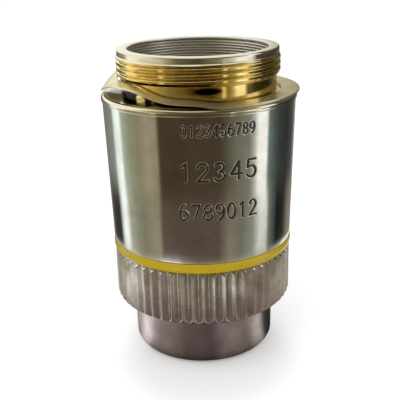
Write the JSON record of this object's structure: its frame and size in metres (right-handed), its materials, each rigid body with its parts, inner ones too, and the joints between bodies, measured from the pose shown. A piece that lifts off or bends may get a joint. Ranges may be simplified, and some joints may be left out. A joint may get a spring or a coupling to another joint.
{
  "type": "microscope objective",
  "caption": "Low-power microscope objective with a tapered plated sleeve, yellow power band, knurled grip, threaded brass neck and a bent loose washer on its shoulder.",
  "frame": {"origin": "on the optical axis, in the plane of the nose's front face, on which the objective stands", "axes": "+Z along the optical axis from the nose to the threaded neck; +X to the side towards which the loose washer is pushed"},
  "size_m": [0.0248, 0.0246, 0.0394],
  "materials": {
    "neck_brass": "satin",
    "sleeve_chrome": "satin",
    "grip_chrome": "satin",
    "nose_chrome": "satin",
    "washer_nickel": "satin",
    "band_enamel": "gloss",
    "black_brass": "matte",
    "inner_brass": "satin",
    "screw_steel": "satin",
    "optical_glass": "polished"
  },
  "bodies": {
    "root": {"thread_mount": "neck_brass", "shoulder_washer": "washer_nickel", "parfocal_shim": "inner_brass", "lock_ring": "inner_brass", "baffle_ring": "black_brass", "outer_sleeve": "sleeve_chrome", "colour_band": "band_enamel", "grip_ring": "grip_chrome", "lens_barrel": "nose_chrome", "centring_screws": "screw_steel", "front_cell": "black_brass", "front_lens": "optical_glass", "front_spacer": "black_brass", "middle_cell": "black_brass", "middle_crown": "optical_glass", "middle_flint": "optical_glass", "long_spacer": "black_brass", "rear_cell": "black_brass", "rear_crown": "optical_glass", "rear_flint": "optical_glass", "aperture_stop": "black_brass", "retaining_ring": "black_brass"}
  },
  "joints": []
}
